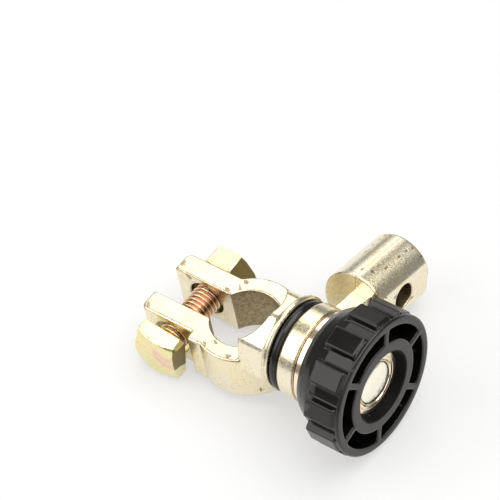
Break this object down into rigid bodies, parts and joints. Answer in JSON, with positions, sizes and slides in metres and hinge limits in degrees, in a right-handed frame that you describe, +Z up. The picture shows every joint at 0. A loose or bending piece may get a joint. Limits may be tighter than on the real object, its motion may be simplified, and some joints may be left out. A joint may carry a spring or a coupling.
{
  "type": "battery disconnect switch",
  "caption": "Knob switch for a battery top post: split clamp with bolt, threaded stud, swivelling cable lug and a knob that parts the circuit when unscrewed.",
  "frame": {"origin": "on the axis of the battery post bore, at the height of the stud's axis", "axes": "+X along the stud towards the knob, +Y along the clamp bolt towards the cable lug, +Z up the battery post"},
  "size_m": [0.0677, 0.061, 0.0382],
  "materials": {
    "plated_casting": "cast and plated, pale gold, satin with darker grain",
    "plated_stud": "turned and plated, worn bright",
    "insulator": "plain moulded plastic",
    "seal_rubber": "smooth and slightly glossy",
    "screw_steel": "dark steel",
    "insert_brass": "turned, pinkish gold",
    "knob_plastic": "fine satin moulding",
    "yellow_zinc": "yellow passivated zinc with a faint rainbow sheen"
  },
  "bodies": {
    "clamp": {"clamp_body": "plated_casting", "center_stud": "plated_stud", "insulating_sleeve": "insulator", "sealing_ring": "seal_rubber"},
    "lug": {"cable_lug": "plated_casting"},
    "cable_screw": {"set_screw": "screw_steel"},
    "insert": {"knob_insert": "insert_brass"},
    "knob": {"knob": "knob_plastic"},
    "bolt": {"clamp_bolt": "yellow_zinc"},
    "nut": {"clamp_nut": "yellow_zinc"}
  },
  "joints": [
    {"name": "knob_travel", "type": "slide", "parent": "clamp", "child": "insert", "axis": [1, 0, 0], "range_m": [0, 0.00525]},
    {"name": "knob_turn", "type": "hinge", "parent": "insert", "child": "knob", "pos_m": [0.034, 0, 0], "axis": [1, 0, 0], "range_deg": [0, 1080.1]},
    {"name": "lug_swivel", "type": "hinge", "parent": "clamp", "child": "lug", "pos_m": [0.021, 0, 0], "axis": [1, 0, 0], "continuous": true},
    {"name": "screw_travel", "type": "slide", "parent": "lug", "child": "cable_screw", "axis": [0, -0.9744, 0.225], "range_m": [-0.002, 0.0048]},
    {"name": "nut_turn", "type": "hinge", "parent": "clamp", "child": "nut", "pos_m": [-0.0168, 0.0132, -0.0065], "axis": [0, 1, 0], "range_deg": [-692, 1080.1]},
    {"name": "bolt_travel", "type": "slide", "parent": "clamp", "child": "bolt", "axis": [0, 1, 0], "range_m": [-0.00375, 0.0024]}
  ],
  "couplings": [
    {"joint": "knob_turn", "follows": "knob_travel", "rad_per_m": 3590.4},
    {"joint": "nut_turn", "follows": "bolt_travel", "rad_per_m": -5026.5}
  ]
}
